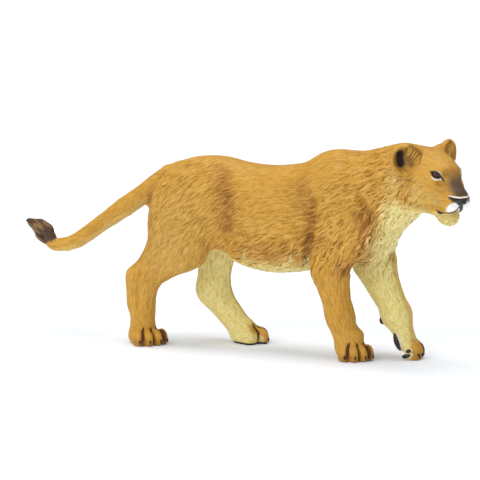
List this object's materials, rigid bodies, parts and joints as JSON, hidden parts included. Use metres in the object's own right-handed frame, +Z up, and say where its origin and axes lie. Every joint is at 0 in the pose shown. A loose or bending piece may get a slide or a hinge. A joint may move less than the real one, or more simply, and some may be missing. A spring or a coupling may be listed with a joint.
{
  "type": "toy lioness figure",
  "caption": "Small moulded plastic figure of a walking lioness, head turned to its right, tail low behind with the dark tuft curled up, standing on the soles of its paws",
  "frame": {"origin": "on the floor, under the middle of the figure's bounding box", "axes": "+X towards the head, along the length from tail tip to nose; +Y to the animal's left; +Z up"},
  "size_m": [0.142, 0.0254, 0.0634],
  "materials": {
    "body_tan": "matt tan paint, darker on the flanks and paler on throat, belly and inner legs, over a grooved coat",
    "tuft_dark": "matt brown-black paint over grooved hair",
    "nose_black": "satin black paint",
    "eye_gloss": "glossy dark brown paint"
  },
  "bodies": {
    "root": {"nose": "nose_black", "jaw": "body_tan", "ear_right": "body_tan", "ear_left": "body_tan", "head": "body_tan", "neck": "body_tan", "tail_tuft": "tuft_dark", "tail_end": "body_tan", "tail_middle": "body_tan", "tail_base": "body_tan", "fore_paw_right": "body_tan", "fore_paw_left": "body_tan", "hind_paw_right": "body_tan", "hind_paw_left": "body_tan", "forearm_right": "body_tan", "forearm_left": "body_tan", "hock_right": "body_tan", "hock_left": "body_tan", "shank_right": "body_tan", "shank_left": "body_tan", "thigh_right": "body_tan", "thigh_left": "body_tan", "upper_arm_right": "body_tan", "upper_arm_left": "body_tan", "chest": "body_tan", "loin": "body_tan", "rump": "body_tan", "eye_right": "eye_gloss", "eye_left": "eye_gloss"}
  },
  "joints": []
}
